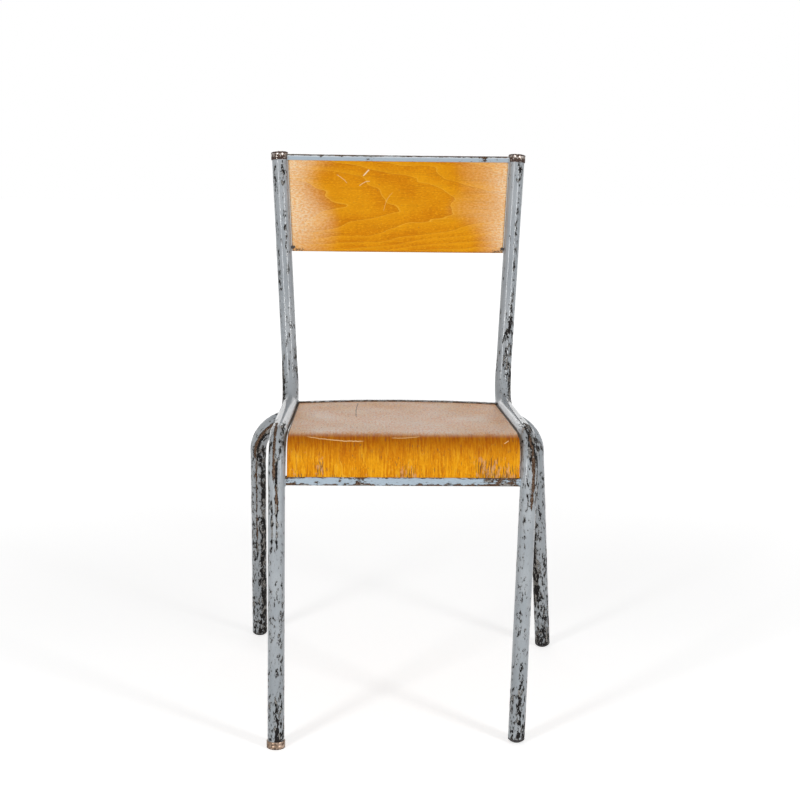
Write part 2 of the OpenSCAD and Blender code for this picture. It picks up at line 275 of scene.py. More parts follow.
def chipped_enamel():
    finish, tree, shader = new_finish("enamel_blue_grey_chipped")
    stock, wear, rust, chalk = [
        add(tree, "Attribute", {"attribute_name": name})["Vector" if name == "stock" else "Fac"]
        for name in ("stock", "wear", "rust", "chalk")]
    flakes = pattern(tree, stock, (3.2, 3.2, 8.0), 5.0, 0.66)
    clusters = pattern(tree, stock, (15, 15, 34), 2.0)
    old = pattern(tree, stock, (5, 5, 14))
    cloud = pattern(tree, stock, (30, 30, 70))
    specks = pattern(tree, stock, (1.2, 1.2, 2.6), 2.0)
    orange_peel = pattern(tree, stock, (5, 5, 7), 2.0)

    depth = summed(tree, flakes, (clusters, 0.40), (wear, 0.42))
    eaten = summed(tree, 0.0, (old, 0.5), (rust, 0.5))
    bare = passed(tree, (depth, *PAINT_ENDS))
    rusty = passed(tree, (eaten, 0.35, 0.38), (depth, *RUST_STARTS))
    scoured = passed(tree, (old, 0.47, 0.44), (depth, *STEEL_STARTS))

    colour = layered(tree, "9FA6AC", [
        (cloud, 0.35, 0.65, 1.0, "AEB4B9"),
        # Painted reflection and highlight where chalk is written: pale blue-grey, then near-white.
        (chalk, 0.0, 0.5, 1.0, "AEBECB"),
        (chalk, 0.5, 1.0, 1.0, "E2E7EA"),
        (specks, 0.62, 0.72, 0.4, "5E5F5E"),
        (depth, 0.87, PAINT_ENDS[0], 0.35, "85827D")])
    for share, dark, light, start, full in (
            (bare, "0E0D0D", "2A2726", 0.4, 0.6),
            (scoured, "6E6B68", "A5A29D", 0.4, 0.6),
            (rusty, "3E2A1E", "786251", 0.38, 0.62)):
        metal = layered(tree, dark, [(specks, start, full, 1.0, light)])
        colour = add(tree, "Mix", BLEND, {0: share, 6: colour, 7: metal})[2]

    painted = add(tree, "Math", MINUS, (1.0, bare))[0]
    height = summed(tree, painted, (orange_peel, 0.10))
    feed(tree, shader, {
        "Base Color": colour,
        "Roughness": add(tree, "Mix", None, {0: bare, 2: GLOSSY, 3: MATT})[0],
        "Specular IOR Level": LOW_SHINE,
        "Coat Weight": add(tree, "Math", TIMES, (painted, ENAMEL_COAT))[0],
        "Coat Roughness": ENAMEL_COAT_ROUGH,
        "Normal": add(tree, "Bump", None, {"Strength": 0.7, "Distance": PAINT_THICK,
                                           "Height": height})[0]})
    return finish


ENAMEL = chipped_enamel()

# %% [markdown]
# ## Finish: varnished beech ply
# Both panels are rotary-cut beech, stained amber and varnished. Fine fibres, pores and
# streaks are one kind of noise, pulled long in the grain direction. The far face is another
# sheet of veneer, so there the pattern is read 0.43 m further along the log, where none of
# the scratches reach. Real fibres are finer than 1.5 mm and are drawn that coarse so that
# they show.

# %% Ply
OTHER_VENEER = 0.43
FIBRE_DEPTH = 40


def ply_wood(name, along_x, rings, contrast):
    """Varnished ply; along_x says whether the grain runs along the blank's x or y."""
    finish, tree, shader = new_finish(name)
    flat = add(tree, "Attribute", {"attribute_name": "stock"})["Vector"]
    depth = add(tree, "SeparateXYZ", None, (flat,))[2]
    far_face = add(tree, "Math", {"operation": "GREATER_THAN"}, (depth, (PLY - 1) * MM))[0]
    blank = add(tree, "VectorMath", {"operation": "MULTIPLY_ADD"},
                (far_face, (OTHER_VENEER, 0, 0), flat))[0]

    def with_grain(fine, long, detail=2.0, rough=0.55):
        sizes = (long, fine, FIBRE_DEPTH) if along_x else (fine, long, FIBRE_DEPTH)
        return pattern(tree, blank, sizes, detail, rough)

    level = rings(tree, blank)
    fibre, streak = with_grain(1.5, 13, 4.0, 0.65), with_grain(5, 75)
    pores, peel = with_grain(1.3, 4.5), with_grain(2.1, 4.4, 3.0, 0.6)
    cloud = pattern(tree, blank, (60, 60, 60), 2.0)
    wood = layered(tree, "DC8600", [
        (cloud, 0.35, 0.65, 1.0, "E89600"),
        (streak, 0.48, 0.72, 0.3, "BC6A00"),
        (fibre, 0.54, 0.70, 0.35, "F6B010"),
        (fibre, 0.44, 0.30, 0.25, "B46000"),
        (peel, 0.52, 0.68, 0.5, "FCBC20"),
        (peel, 0.46, 0.32, 0.4, "B46000"),
        (level, 0.75, 0.0, contrast, "FBB414"),
        (level, 0.05, 0.0, contrast, "FFCC50"),
        (level, 0.8, 1.0, contrast * 0.5, "C06C00"),
        (pores, 0.66, 0.76, 0.5, "8A4A08")])
    return finish, tree, shader, blank, wood, (fibre, peel, cloud)


# %% [markdown]
# ## Growth rings
# Rotary veneer shows growth rings as contour lines, like a map, because the knife follows
# the log's rings at a slant. A slow height is sliced into levels, and each slice starts with
# a pale line and ends darker. On the back the rings arch over, as in a church window; on the
# seat they run from front to back.

# %% Growth rings
ARCH_MIDDLE, ARCH_BLEND = 0.302, 0.012
ARCH_BELOW, ARCH_ABOVE = 90, 35
RING_STEP = 0.09
SEAT_RINGS = 5.0


def cathedral(tree, blank):
    """Growth rings that arch over towards the right end, flatter below the middle than above."""
    x, y, _ = add(tree, "SeparateXYZ", None, (blank,))
    rise = add(tree, "Math", MINUS, (y, ARCH_MIDDLE))[0]
    curve = add(tree, "MapRange", SMOOTH, (rise, -ARCH_BLEND, ARCH_BLEND, ARCH_BELOW, ARCH_ABOVE))[0]
    square = add(tree, "Math", TIMES, (rise, rise))[0]
    arch = add(tree, "Math", TIMES, (square, curve))[0]
    wander = pattern(tree, blank, (105, 30, 60), 2.0, 0.4, 0.3)
    height = summed(tree, x, (arch, 1.0), (wander, 0.17), (1.0, 1.0))
    slices = add(tree, "Math", OVER, (height, RING_STEP))[0]
    return add(tree, "Math", {"operation": "FRACT"}, (slices,))[0]


def long_rings(tree, blank):
    """Growth rings pulled long from front to back."""
    slow = pattern(tree, blank, (46, 190, 60), 2.0, 0.4, 0.6)
    slices = add(tree, "Math", TIMES, (slow, SEAT_RINGS))[0]
    return add(tree, "Math", {"operation": "FRACT"}, (slices,))[0]


# %% [markdown]
# ## Cut edges
# On a cut edge the depth below the face shows the plies and the dark glue lines between
# them, so the edge needs no drawing of its own.

# %% Cut edges
VENEER, SKIN = 1.6, 0.5


def ply_edges(tree, blank, wood, share=0.85):
    """Veneers on the cut edges, with dark glue lines between them."""
    depth = add(tree, "SeparateXYZ", None, (blank,))[2]
    sheets = add(tree, "Math", OVER, (depth, VENEER * MM))[0]
    to_glue = add(tree, "Math", {"operation": "PINGPONG"}, (sheets, 0.5))[0]
    edge = layered(tree, "B98A50", [(to_glue, 0.13, 0.06, 1.0, "5A3A1C")])
    below = add(tree, "Math", {"operation": "GREATER_THAN"}, (depth, SKIN * MM))[0]
    above = add(tree, "Math", {"operation": "LESS_THAN"}, (depth, (PLY - SKIN) * MM))[0]
    inside = add(tree, "Math", TIMES, (below, above))[0]
    shown = add(tree, "Math", TIMES, (inside, share))[0]
    return add(tree, "Mix", BLEND, {0: shown, 6: wood, 7: edge})[2]


# %% [markdown]
# ## Scratches
# A scratch is a thin band about a short line. The line is turned and bowed a little, it
# wavers by up to 2 mm each way, and it fades at its ends.

# %% Scratches
SCRATCH_WAVER = 4 * MM


def scratched(tree, blank, wood, scratches):
    """Each scratch is (x, y, turn in degrees, length, width, colour, bow), in millimetres."""
    for x_mm, y_mm, turn_deg, length_mm, width_mm, colour, bow_mm in scratches:
        place = add(tree, "Mapping", {"vector_type": "TEXTURE"},
                    {"Vector": blank, "Location": (x_mm * MM, y_mm * MM, 0),
                     "Rotation": (0, 0, math.radians(turn_deg))})[0]
        x, y, _ = add(tree, "SeparateXYZ", None, (place,))
        along = add(tree, "Math", OVER, (x, length_mm / 2 * MM))[0]
        bow = add(tree, "Math", {"operation": "POWER"}, (along, 2.0))[0]
        wave = add(tree, "Math", MINUS, (pattern(tree, place, (9, 60, 60), 2.0), 0.5))[0]
        off = summed(tree, y, (bow, bow_mm * MM), (wave, SCRATCH_WAVER))
        off, along = [add(tree, "Math", {"operation": "ABSOLUTE"}, (value,))[0]
                      for value in (off, along)]
        shown = passed(tree, (off, 0.6 * width_mm * MM, 0.35 * width_mm * MM), (along, 1.0, 0.8))
        wood = add(tree, "Mix", BLEND, {0: shown, 6: wood, 7: colour})[2]
    return wood


# %% [markdown]
# ## Varnish
# Old varnish is glossy in places and dull in others, and the wood's fibres have risen through
# it, so it catches the light unevenly. It has soaked in, so it is the wood's own gloss that
# changes here, and no coat lies on top.

# %% Varnish
def varnish(tree, shader, wood, dull, reliefs, bump_mm, gloss_rough=0.34, worn_rough=0.56):
    """Colour, gloss and relief of the old varnish, worn dull where dull is high."""
    relief = summed(tree, reliefs[0], (reliefs[1], 1.0))
    feed(tree, shader, {
        "Base Color": wood,
        "Roughness": add(tree, "MapRange", SMOOTH, (dull, 0.3, 0.8, gloss_rough, worn_rough))[0],
        "IOR": 1.5,
        "Specular IOR Level": LOW_SHINE,
        "Normal": add(tree, "Bump", None, {"Strength": 0.6, "Distance": bump_mm * MM,
                                           "Height": relief})[0]})


# %% [markdown]
# ## The back's ply
# The back is painted pale towards both ends: a painted sheen of the softboxes, with rubbed
# varnish. Dark flecks sit in the open grain, it is darker in the lower corners by the clips,
# and four scratches cross the middle.

# %% The back's ply
def back_ply():
    finish, tree, shader, blank, wood, (fibre, peel, cloud) = ply_wood(
        "beech_ply_varnished_back", True, cathedral, 0.36)
    pale, wear = [add(tree, "Attribute", {"attribute_name": name})["Fac"] for name in ("pale", "wear")]
    # The pale ends are a painted sheen of the softboxes, with rubbed varnish.
    rubbed = layered(tree, "FCC486", [(peel, 0.38, 0.62, 1.0, "FFEAC8")])
    shown = add(tree, "Math", TIMES, (pale, 0.9))[0]
    wood = add(tree, "Mix", BLEND, {0: shown, 6: wood, 7: rubbed})[2]
    flecks = pattern(tree, blank, (2.4, 1.8, FIBRE_DEPTH))
    wood = layered(tree, wood, [
        (summed(tree, flecks, (pale, 0.06)), 0.655, 0.73, 0.6, "8E6A4E"),
        # Darker in the lower corners by the clips.
        (summed(tree, flecks, (wear, 1.0)), 1.02, 1.2, 0.85, "4C4038")])
    wood = scratched(tree, blank, wood, [
        (-50, 356, 46, 14, 1.8, "FBE2B8", 0),
        (-53, 341, 25, 19, 1.1, "F3CE96", 2),
        (-18, 313, 66, 34, 0.9, "EDB45C", 3),
        (-87, 347, -38, 22, 0.9, "EDBE84", 1)])
    wood = ply_edges(tree, blank, wood, 0.25)
    varnish(tree, shader, wood, cloud, (fibre, peel), 0.2)
    return finish


BACK_PLY = back_ply()

# %% [markdown]
# ## The seat's ply
# The top is painted pale: a painted sheen of the white room at a glancing angle, with dust;
# the roll and the apron keep their varnish. Just in front of the crest lies a painted band of
# shade, with a deeper tone of varnish. The apron's lower edge has split along the grain where
# heels and other chairs have struck it, and a painted shadow lies in the seam along the tubes.
# The pale top alone has a thin coat of polish.

# %% The seat's ply
def seat_ply():
    finish, tree, shader, blank, wood, (fibre, peel, cloud) = ply_wood(
        "beech_ply_varnished_seat", False, long_rings, 0.35)
    pale, wear, crest, seam = [add(tree, "Attribute", {"attribute_name": name})["Fac"]
                               for name in ("pale", "wear", "crest", "seam")]
    stripes = pattern(tree, blank, (2.6, 30, FIBRE_DEPTH), 4.0, 0.62)
    splits = pattern(tree, blank, (1.5, 24, FIBRE_DEPTH), 3.0, 0.6)
    scuffs = pattern(tree, blank, (5, 12, FIBRE_DEPTH), 4.0, 0.6)
    dust = pattern(tree, blank, (3.0, 8, FIBRE_DEPTH), 4.0, 0.7)
    bloom = pattern(tree, blank, (50, 70, 60), 2.0)
    nicks = pattern(tree, blank, (2.2, 9, FIBRE_DEPTH))

    wood = layered(tree, wood, [
        (stripes, 0.52, 0.62, 0.65, "FCB824"),
        (stripes, 0.46, 0.35, 0.6, "AC5400"),
        (summed(tree, splits, (wear, 0.5)), 0.76, 0.80, 0.75, "4E362A"),
        (summed(tree, scuffs, (wear, 0.35)), 0.66, 0.80, 0.65, "DCA676")])
    # A painted band of shade in front of the crest, where the roll turns from the low lamps, with a deeper
    # varnish tone.
    patchy = add(tree, "MapRange", SMOOTH, (stripes, 0.3, 0.6, 1, 0.7))[0]
    burnt = add(tree, "Math", TIMES, (crest, patchy))[0]
    wood = add(tree, "Mix", BLEND, {0: burnt, 6: wood, 7: "A85400"})[2]
    # The pale top is a painted sheen of the white room at a glancing angle, broken up by dust.
    dusty = summed(tree, 0.0, (bloom, 0.25), (dust, 0.75))
    worn = layered(tree, "EAAE82", [(dusty, 0.34, 0.60, 1.0, "FFF0E2")])
    shown = add(tree, "Math", TIMES, (pale, 0.96))[0]
    wood = add(tree, "Mix", BLEND, {0: shown, 6: wood, 7: worn})[2]
    # Dark nicks, and a painted shadow in the seam beside each tube.
    wood = layered(tree, wood, [
        (nicks, 0.61, 0.71, 0.65, "7A5636"),
        (summed(tree, seam, (peel, 0.4)), 0.70, 0.86, 0.85, "2C221C")])
    wood = scratched(tree, blank, wood, [
        (-96, -25, -6, 84, 1.7, "F0C48A", -3),
        (3, -20, 5, 42, 1.5, "EDBE80", -2),
        (144, -27, 38, 9, 1.4, "F0C48A", 0),
        (-64, 190, 88, 140, 1.1, "6A4A34", 2)])
    wood = ply_edges(tree, blank, wood)
    varnish(tree, shader, wood, cloud, (dust, stripes), 0.3, 0.46, 0.66)
    feed(tree, shader, {"Coat Weight": add(tree, "Math", TIMES, (pale, 0.2))[0],
                        "Coat Roughness": 0.4})
    return finish


SEAT_PLY = seat_ply()

# %% [markdown]
# ## Small metal parts
# The caps are nickel-plated steel that has rusted through at the rim. The one ferrule left on
# the front feet is copper-coloured plated steel, and the clips are blackened strip. They read
# the plain object coordinates, because the parts are small and were never bent.

# %% Nickel, copper and steel
RUST_ROUGH, PITTED = 0.75, 0.15 * MM


def small_metal(name, bright, dull, rust, rust_from, rough):
    """Plated or plain metal that turns to matt brown rust where its spots and wear are high."""
    finish, tree, shader = new_finish(name)
    place = add(tree, "TexCoord")["Object"]
    wear = add(tree, "Attribute", {"attribute_name": "wear"})["Fac"]
    spots = pattern(tree, place, (3.2, 3.2, 3.2), 4.0, 0.6)
    clouds = pattern(tree, place, (12, 12, 12), 2.0)
    eaten = passed(tree, (summed(tree, spots, (wear, 0.35)), rust_from, rust_from + 0.06))
    metal = layered(tree, bright, [(clouds, 0.35, 0.65, 1.0, dull)])
    brown = layered(tree, rust[0], [(spots, 0.5, 0.75, 1.0, rust[1])])
    feed(tree, shader, {
        "Base Color": add(tree, "Mix", BLEND, {0: eaten, 6: metal, 7: brown})[2],
        "Metallic": add(tree, "Math", MINUS, (1.0, eaten))[0],
        "Roughness": add(tree, "MapRange", SMOOTH, (eaten, 0, 1, rough, RUST_ROUGH))[0],
        "Normal": add(tree, "Bump", None, {"Strength": 0.6, "Distance": PITTED,
                                           "Height": spots})[0]})
    return finish


NICKEL = small_metal("nickel_plate_rusted", "C0B9B4", "94887E", ("2E1C14", "6E503C"), 0.59, 0.26)
COPPER = small_metal("copper_plate_worn", "B49E8E", "86705E", ("30241C", "7A604C"), 0.60, 0.36)
STEEL = small_metal("steel_strip_blackened", "4A4644", "2E2B2A", ("241A14", "4A3424"), 0.55, 0.5)

# %% [markdown]
# ## Rubber
# The plugs are black rubber, greyed by floor dust that sticks in its fine pores.

# %% Rubber
POROUS = 0.1 * MM


def black_rubber():
    """Moulded rubber: matt, and greyer and duller where floor dust has stuck."""
    finish, tree, shader = new_finish("rubber_black_scuffed")
    place = add(tree, "TexCoord")["Object"]
    dust = pattern(tree, place, (4, 4, 2))
    fine = pattern(tree, place, (0.8, 0.8, 0.8), 2.0)
    feed(tree, shader, {
        "Base Color": layered(tree, "1C1A1A", [(dust, 0.45, 0.7, 1.0, "4A4644")]),
        "Roughness": add(tree, "MapRange", SMOOTH, (dust, 0.4, 0.7, 0.5, 0.8))[0],
        "Normal": add(tree, "Bump", None, {"Strength": 0.5, "Distance": POROUS,
                                           "Height": fine})[0]})
    return finish


RUBBER = black_rubber()
print("finishes:", [m.name for m in (ENAMEL, BACK_PLY, SEAT_PLY, NICKEL, COPPER, STEEL, RUBBER)])

# %% [markdown]
# ## Drawing stock and bending it
# A tube bender starts with straight tube. So does this: a section is drawn out straight,
# ring by ring, and every point keeps its straight place in the attribute `stock`. Then each
# ring is carried to its place on the bent line. The paint's chips are read from `stock`, so
# they never smear in a bend. `stations` walks the bent line: straight runs, and arcs of one
# radius at the corners.

# %% Stations along a bent line
RUN_STEP = 5.0 * MM
ARC_STEP = math.radians(3.0)


def stations(corners, radius, run_step=RUN_STEP):
    """(point, direction, share of bend) along straight runs joined by arcs of one radius."""
    line = []

    def run(start, end, direction):
        count = max(1, math.ceil((end - start).length / run_step))
        for i in range(count):
            line.append((start.lerp(end, i / count), direction, 0.0))

    start = corners[0]
    for before, corner, after in zip(corners, corners[1:], corners[2:]):
        coming, going = (corner - before).normalized(), (after - corner).normalized()
        turn = coming.angle(going)
        cut = radius * math.tan(turn / 2)
        inward = (going - coming.dot(going) * coming).normalized()
        centre = corner - cut * coming + radius * inward
        run(start, corner - cut * coming, coming)
        count = math.ceil(turn / ARC_STEP)
        for i in range(count):
            a = turn * i / count
            spot = centre + radius * (math.sin(a) * coming - math.cos(a) * inward)
            line.append((spot, math.cos(a) * coming + math.sin(a) * inward, 1.0))
        start = corner + cut * going
    last = (corners[-1] - start).normalized()
    run(start, corners[-1], last)
    line.append((corners[-1], last, 0.0))
    return line


def carried(line, across):
    """A frame at each station, turned as little as possible from one to the next."""
    frames = []
    for spot, direction, _ in line:
        across = (across - across.dot(direction) * direction).normalized()
        turned = Matrix((across, direction.cross(across), direction)).transposed().to_4x4()
        frames.append(Matrix.Translation(spot) @ turned)
    return frames


# %% [markdown]
# ## Sections
# Two kinds of section are drawn out here: the tube's disc, and the folded outline of a
# pressed channel, with wide rounds at its folds and barely broken edges elsewhere. Each time
# the end face is drawn on, the face it leaves behind would stay inside the bar like a coin in
# a pipe, so it is taken out. Only the very first one stays, as the bar's start.

# %% Drawing a section along a line
SMALL_ROUND, SMALL_STEPS, FOLD_STEPS = 0.5, 1, 4


def drawn(section, line, across, size_at=lambda s: 1.0):
    """A closed bar of the section along the line, with its straight place kept in stock."""
    bm = bmesh.new()
    stock = bm.verts.layers.float_vector.new("stock")
    section(bm)
    end = bm.faces[:]
    rings, far = [bm.verts[:]], [0.0]
    for (spot, _, _), (following, _, _) in zip(line, line[1:]):
        step = (following - spot).length
        grown = bmesh.ops.extrude_face_region(bm, geom=end)["geom"]
        if len(rings) > 1:
            bmesh.ops.delete(bm, geom=end, context="FACES_ONLY")
        end = [g for g in grown if isinstance(g, bmesh.types.BMFace)]
        rings.append([g for g in grown if isinstance(g, bmesh.types.BMVert)])
        far.append(far[-1] + step)
        bmesh.ops.translate(bm, vec=(0, 0, step), verts=rings[-1])
    for ring, s, place in zip(rings, far, carried(line, across)):
        size = size_at(s)
        bmesh.ops.scale(bm, vec=(size, size, 1), verts=ring)
        for v in ring:
            v[stock] = v.co
        bmesh.ops.transform(bm, matrix=place @ Matrix.Translation((0, 0, -s)), verts=ring)
    print("cut length, mm:", round(far[-1] / MM), "rings:", len(rings))
    return bm


def round_section(radius, sides):
    """A disc that is drawn out into a bar or tube."""
    def make(bm):
        bmesh.ops.create_circle(bm, cap_ends=True, segments=sides, radius=radius)
    return make


def pressed_section(points_mm, folds, fold_mm):
    """A folded sheet's section: wide rounds at the named folds, small ones at its other corners."""
    def make(bm):
        corners = [bm.verts.new((a * MM, b * MM, 0)) for a, b in points_mm]
        bm.faces.new(corners)
        wide = [corners[i] for i in folds]
        small = [v for v in corners if v not in wide]
        for some, radius, steps in ((small, SMALL_ROUND, SMALL_STEPS), (wide, fold_mm, FOLD_STEPS)):
            bmesh.ops.bevel(bm, geom=some, offset=radius * MM, offset_type="OFFSET",
                            segments=steps, profile=0.5, affect="VERTICES", material=-1,
                            clamp_overlap=True)
        wide_sides = [e for e in bm.edges if e.calc_length() > 3 * MM]
        bmesh.ops.subdivide_edges(bm, edges=wide_sides, cuts=3)
    return make


# %% [markdown]
# ## Marking the wear
# Wear isn't spread evenly: it sits where hands, floors and other chairs rub. `mark_wear`
# writes a number on each point of the stock: a base that changes along the length, and
# listed patches. A patch is a stretch of the length and an angle round the tube.
# The paint's noise then breaks the patch up, so that no edge is smooth.

# %% Wear
PATCH_FADE = 12


def soft(value, low, high):
    """0 below low, 1 above high and smooth between."""
    share = min(1.0, max(0.0, (value - low) / (high - low)))
    return share * share * (3 - 2 * share)


def patched(s, angle, patches):
    """The sum of the patches at a place: (from, to, angle, half angle, strength), mm and degrees."""
    value = 0.0
    for start, end, middle, half, strength in patches:
        outside = max(start - s, s - end, 0) / PATCH_FADE
        aside = ((angle - middle + 180) % 360 - 180) / half
        value += strength * math.exp(-outside ** 2 - aside ** 4)
    return value


def mark_wear(bm, base, patches=(), rusted=()):
    """base is [(distance, wear)]; patches add bare metal, and rusted says where it is brown."""
    stock = bm.verts.layers.float_vector["stock"]
    wear, rust = [bm.verts.layers.float.new(name) for name in ("wear", "rust")]
    for v in bm.verts:
        s, angle = v[stock].z / MM, math.degrees(math.atan2(v[stock].y, v[stock].x))
        lower = max((b for b in base if b[0] <= s), default=base[0])
        upper = min((b for b in base if b[0] > s), default=lower)
        share = (s - lower[0]) / (upper[0] - lower[0]) if upper[0] > lower[0] else 0
        value = lower[1] + share * (upper[1] - lower[1])
        v[wear] = value + patched(s, angle, patches)
        v[rust] = patched(s, angle, rusted)


# %% [markdown]
# ## Handing a piece over
# Every piece ends the same way: its faces are turned outward, edges that are sharp on the
# real part stay sharp and the rest shade smooth, and it joins the chair's one body.

# %% Finishing a piece
MADE = []


def finished(name, bm, finish, replaces=(), sharp_deg=60):
    """Turns a bmesh into a piece of the chair that rides on its one body."""
    bmesh.ops.recalc_face_normals(bm, faces=bm.faces[:])
    mesh = bpy.data.meshes.new(name)
    bm.to_mesh(mesh)
    bm.free()
    mesh.shade_smooth()
    mesh.set_sharp_from_angle(angle=math.radians(sharp_deg))
    mesh.materials.append(finish)
    piece = bpy.data.objects.new(name, mesh)
    bpy.context.scene.collection.objects.link(piece)
    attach(piece, "root")
    if replaces:
        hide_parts(*replaces)
    MADE.append(piece)
    low, high = [[round(far(v.co[i] for v in mesh.vertices) / MM, 1) for i in range(3)]
                 for far in (min, max)]
    cad = [[round(c / MM, 1) for c in corner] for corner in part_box(replaces[0])] if replaces else None
    print(name, "from", low, "to", high, "CAD", cad, "faces", len(mesh.polygons))


# %% [markdown]
# ## The two side tubes
# One tube makes a front leg, a seat rail and an upright. It swells by half a millimetre in
# its bends, where the bender squeezed it. The elbow's outside rubs against the next chair in
# a stack, so it carries the longest bare stripe. Each tube stops short of the floor, where
# its ferrule or plug begins.

# %% Side tubes
SIDES = 64
FERRULE_SINK, PLUG_GAP = 2.0, 7.0
WORD = {LEFT: "left", RIGHT: "right"}


def swelling(line):
    """How much fatter the tube is at each distance: full in a bend, easing off over a flare."""
    places = [0.0]
    for (spot, _, _), (following, _, _) in zip(line, line[1:]):
        places.append(places[-1] + (following - spot).length)
    bends = [s for s, (_, _, share) in zip(places, line) if share > 0]

    def size(s):
        gap = min(abs(s - b) for b in bends) / MM
        return 1 + BEND_SWELL / TUBE_R * max(0.0, 1 - gap / FLARE)
    return size


def raised(foot, corner, gap_mm):
    """The point of a leg's line that is a gap above its foot."""
    return foot + (corner - foot).normalized() * gap_mm * MM


def tube(name, node, corners, bend_r, *wear):
    """One tube of the frame, bent and worn."""
    line = stations(corners, bend_r * MM)
    bm = drawn(round_section(TUBE_R * MM, SIDES), line, Vector((1, 0, 0)), swelling(line))
    mark_wear(bm, *wear)
    finished(name, bm, ENAMEL, [node])


for side, floor_gap, base, patches, rusted in (
        (LEFT, FERRULE_SINK,
         [(0, 0.62), (70, 0.42), (150, 0.36), (330, 0.34), (400, 0.3), (480, 0.14),
          (690, 0.14), (800, 0.34), (900, 0.28), (1111, 0.3)],
         [(352, 402, -90, 9, 0.8), (402, 474, -109, 10, 0.85), (296, 350, -86, 8, 0.5),
          (290, 352, -122, 9, 0.5), (448, 476, -62, 14, 0.3), (0, 60, -80, 20, 0.3),
          (690, 800, -20, 40, 0.25), (900, 1080, -75, 14, 0.24), (355, 440, -150, 14, 0.35),
          (430, 500, -60, 26, 0.3), (430, 520, -135, 22, 0.32), (620, 760, -150, 26, 0.42),
          (880, 1090, -140, 20, 0.24), (700, 790, -160, 30, 0.25), (40, 340, -50, 12, 0.16)],
         [(395, 470, -109, 10, 0.5), (352, 372, -90, 10, 0.3)]),
        (RIGHT, PLUG_GAP,
         [(0, 0.62), (60, 0.5), (100, 0.34), (200, 0.28), (330, 0.34), (380, 0.48), (460, 0.44),
          (520, 0.16), (690, 0.14), (800, 0.36), (900, 0.3), (1111, 0.3)],
         [(352, 410, -64, 10, 0.65), (410, 470, -70, 24, 0.36), (40, 96, -84, 18, 0.3),
          (700, 830, -60, 40, 0.25), (840, 1080, -60, 16, 0.24), (350, 440, -30, 18, 0.35),
          (450, 640, -20, 14, 0.22), (120, 330, -110, 12, 0.16), (430, 520, -95, 30, 0.2),
          (620, 760, -30, 26, 0.36)],
         [(350, 400, -64, 14, 0.45), (420, 470, -75, 16, 0.2)])):
    foot = raised(FRONT_FOOT[side], elbow(side), floor_gap)
    tube("tube_" + WORD[side], "side_tube_" + WORD[side],
         [foot, elbow(side), rear_bend(side), upright_top(side)], SIDE_BEND_R, base, patches, rusted)

# %% [markdown]
# ## The rear leg arch
# One more tube, bent into a wide arch, is both back legs. It passes under the side tubes and
# is welded to them. Its bends stand proud of the rest, so they are worn to bare metal.

# %% Rear arch
arch_feet = [raised(REAR_FOOT[side], ARCH_CORNER[side], PLUG_GAP) for side in (LEFT, RIGHT)]
tube("tube_arch", "rear_leg_arch",
     [arch_feet[0], ARCH_CORNER[LEFT], ARCH_CORNER[RIGHT], arch_feet[1]], ARCH_BEND_R,
     [(0, 0.72), (90, 0.5), (250, 0.46), (370, 0.5), (470, 0.4), (620, 0.25), (770, 0.4),
      (870, 0.46), (1000, 0.5), (1130, 0.62), (1240, 0.72)],
     # Long patches down each leg, from 40 to 372 mm and from 930 to 1130 mm, leave much of the legs dark.
     [(40, 372, -48, 26, 0.42), (372, 452, -112, 12, 0.75), (180, 372, -103, 5, 0.5),
      (376, 460, -92, 12, 0.4), (786, 850, -108, 24, 0.55), (868, 930, -84, 9, 0.7),
      (930, 1130, -50, 24, 0.42), (180, 366, 60, 40, 0.3), (880, 1000, 70, 40, 0.3)],
     [(330, 452, -112, 10, 0.5), (868, 930, -84, 8, 0.5), (180, 330, -103, 5, 0.3)])

# %% [markdown]
# ## The pressed rails
# Each rail is 2 mm sheet folded into a channel that grips a panel's edge. The fold leaves
# rounded corners, and the rounded corner is where paint wears first. So a rail's wear is laid
# along the edges of its section, with a few short stretches where something has struck it.
# The faces that look forward carry a painted reflection, pale blue-grey, and near the top
# of the top rail's front a painted white highlight.

# %% How rails are made and worn
RAIL_RUST = 0.26
STRETCH_FADE = 5
RAIL_DEPTH = PLY + 2 * SHEET
OUT = RAIL_DEPTH / 2
SEAT_TOP = 5.0


def arc_line(middle_y, radius, half_angle, z, step_deg):
    """Stations round an arc seen from above, in millimetres, from left to right."""
    count = math.ceil(2 * half_angle / math.radians(step_deg))
    line = []
    for i in range(count + 1):
        a = half_angle * (2 * i / count - 1)
        spot = Vector((radius * math.sin(a), middle_y + radius * math.cos(a), z)) * MM
        line.append((spot, Vector((math.cos(a), -math.sin(a), 0)), 0.0))
    return line


def rail_wear(bm, base, edges, patches=(), chalk_at=lambda up, across: 0.0):
    """More wear near edges of the section (up, across, reach, wear) and in stretches (from, to, wear)."""
    stock = bm.verts.layers.float_vector["stock"]
    wear, rust, chalk = [bm.verts.layers.float.new(name) for name in ("wear", "rust", "chalk")]
    for v in bm.verts:
        up, across, s = v[stock] / MM
        value = base
        for edge_up, edge_across, reach, strength in edges:
            away = math.hypot(up - edge_up, across - edge_across)
            value += strength * math.exp(-(away / reach) ** 2)
        for start, end, strength in patches:
            value += strength * math.exp(-(max(start - s, s - end, 0) / STRETCH_FADE) ** 2)
        v[wear] = value
        v[rust] = RAIL_RUST
        v[chalk] = chalk_at(up, across)


def rail(name, node, place, line, section, *wear):
    """A folded channel along a line of the seat's or the back's own frame."""
    turn = place.to_3x3()
    line = [(place @ spot, turn @ direction, share) for spot, direction, share in line]
    bm = drawn(pressed_section(*section), line, turn @ Vector((0, 0, 1)))
    rail_wear(bm, *wear)
    finished(name, bm, ENAMEL, [node], sharp_deg=50)


# %% [markdown]
# ## The front rail
# It is straight and open upwards, and holds the apron's lower edge. Shoes strike its fold, so
# that edge is the most worn, and four knocks are placed along it. The corners of its outline
# are (up, across).

